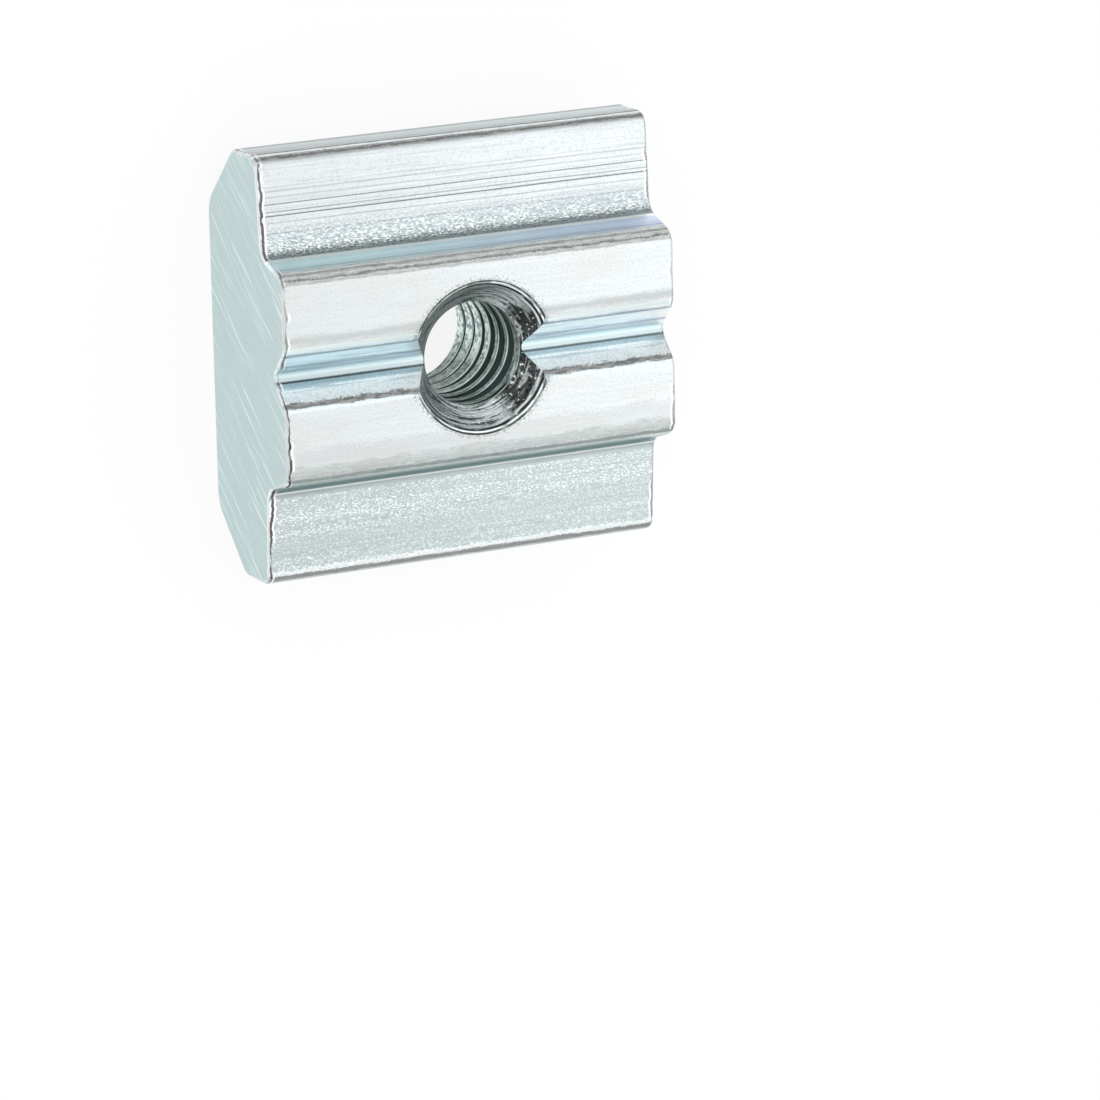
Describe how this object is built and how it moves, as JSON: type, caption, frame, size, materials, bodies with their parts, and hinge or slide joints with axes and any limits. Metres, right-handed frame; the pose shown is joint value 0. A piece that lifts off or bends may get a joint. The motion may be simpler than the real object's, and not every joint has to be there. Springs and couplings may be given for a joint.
{
  "type": "t slot nut",
  "caption": "Slide-in nut for a T-slot profile: drawn T-section steel block with a grooved boss, sloped shoulders, chamfered back and a countersunk, tapped through hole.",
  "frame": {"origin": "middle of the flat back, on the axis of the threaded hole", "axes": "+X along the slot that the nut slides in, +Y across the flange, +Z along the threaded hole, out of the slot side with the boss"},
  "size_m": [0.017, 0.017, 0.0067],
  "materials": {
    "zinc_plated_steel": "bright blue-white zinc plate over drawn, sawn and tumbled steel"
  },
  "bodies": {
    "root": {"nut_body": "zinc_plated_steel"}
  },
  "joints": []
}
